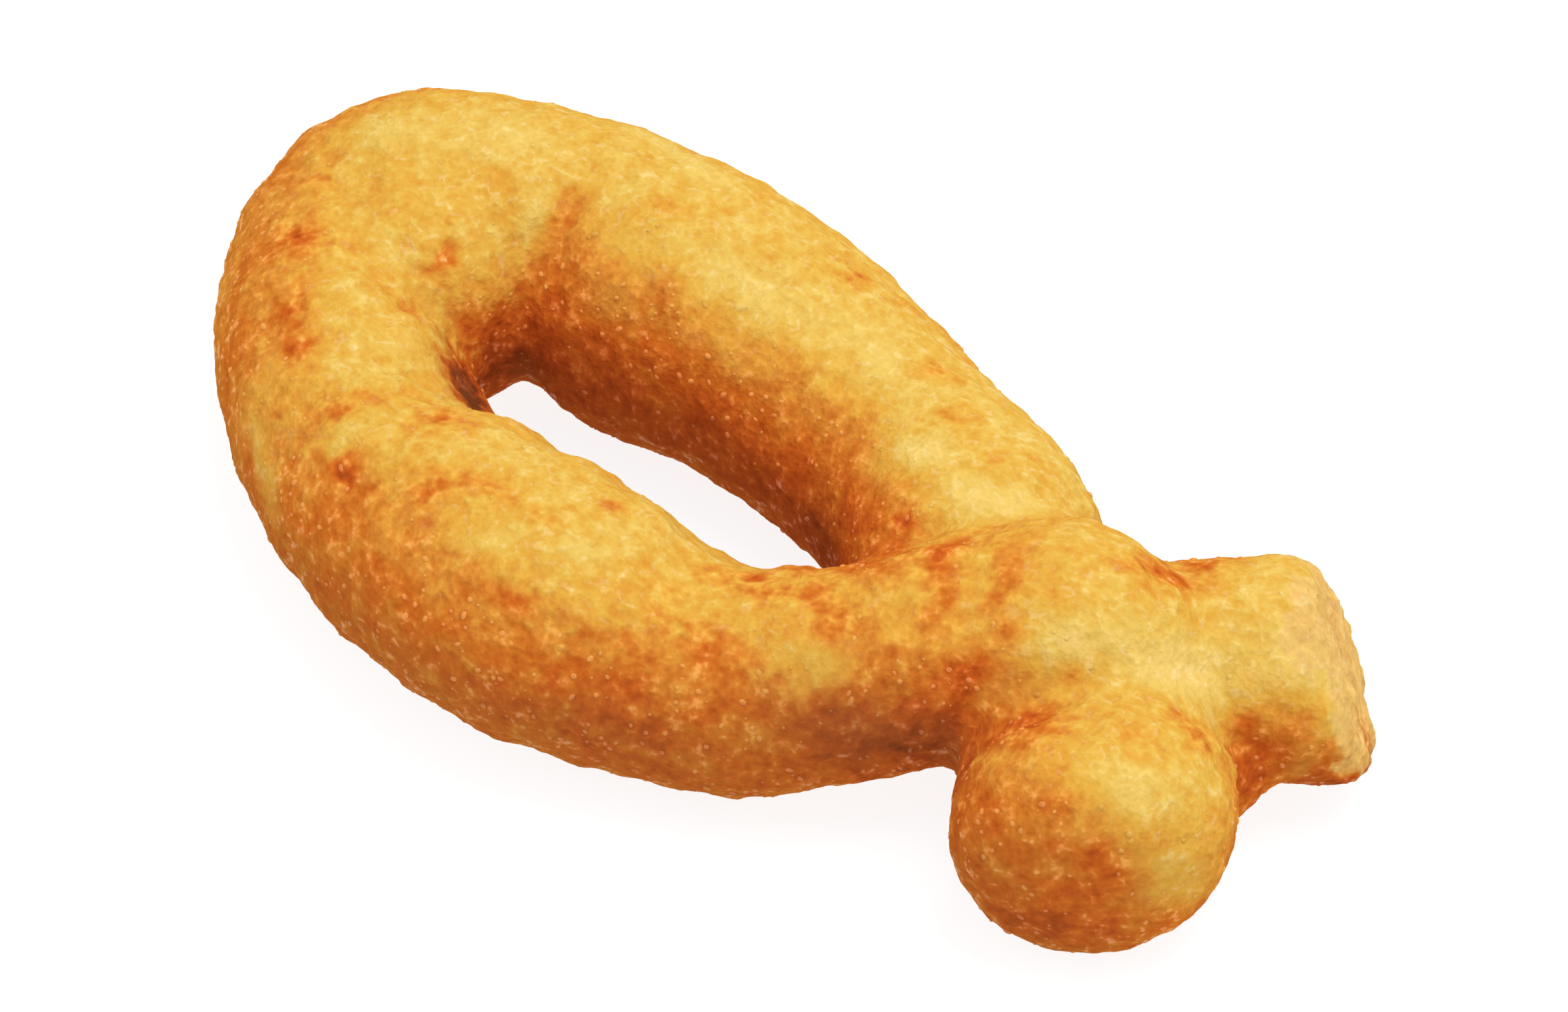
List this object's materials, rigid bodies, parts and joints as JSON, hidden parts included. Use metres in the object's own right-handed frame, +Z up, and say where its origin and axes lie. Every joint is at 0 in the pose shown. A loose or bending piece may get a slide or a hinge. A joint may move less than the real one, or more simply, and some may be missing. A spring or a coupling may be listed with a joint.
{
  "type": "cruller doughnut",
  "caption": "Fried cruller doughnut: a rope of dough laid in a teardrop loop whose ends cross and fuse.",
  "frame": {"origin": "middle of the bounding box, on the surface that the doughnut rests on", "axes": "+X along the loop from its bend towards the crossing, +Z up"},
  "size_m": [0.1182, 0.0624, 0.0265],
  "materials": {
    "crust": null
  },
  "bodies": {
    "root": {"cruller": "crust"}
  },
  "joints": []
}
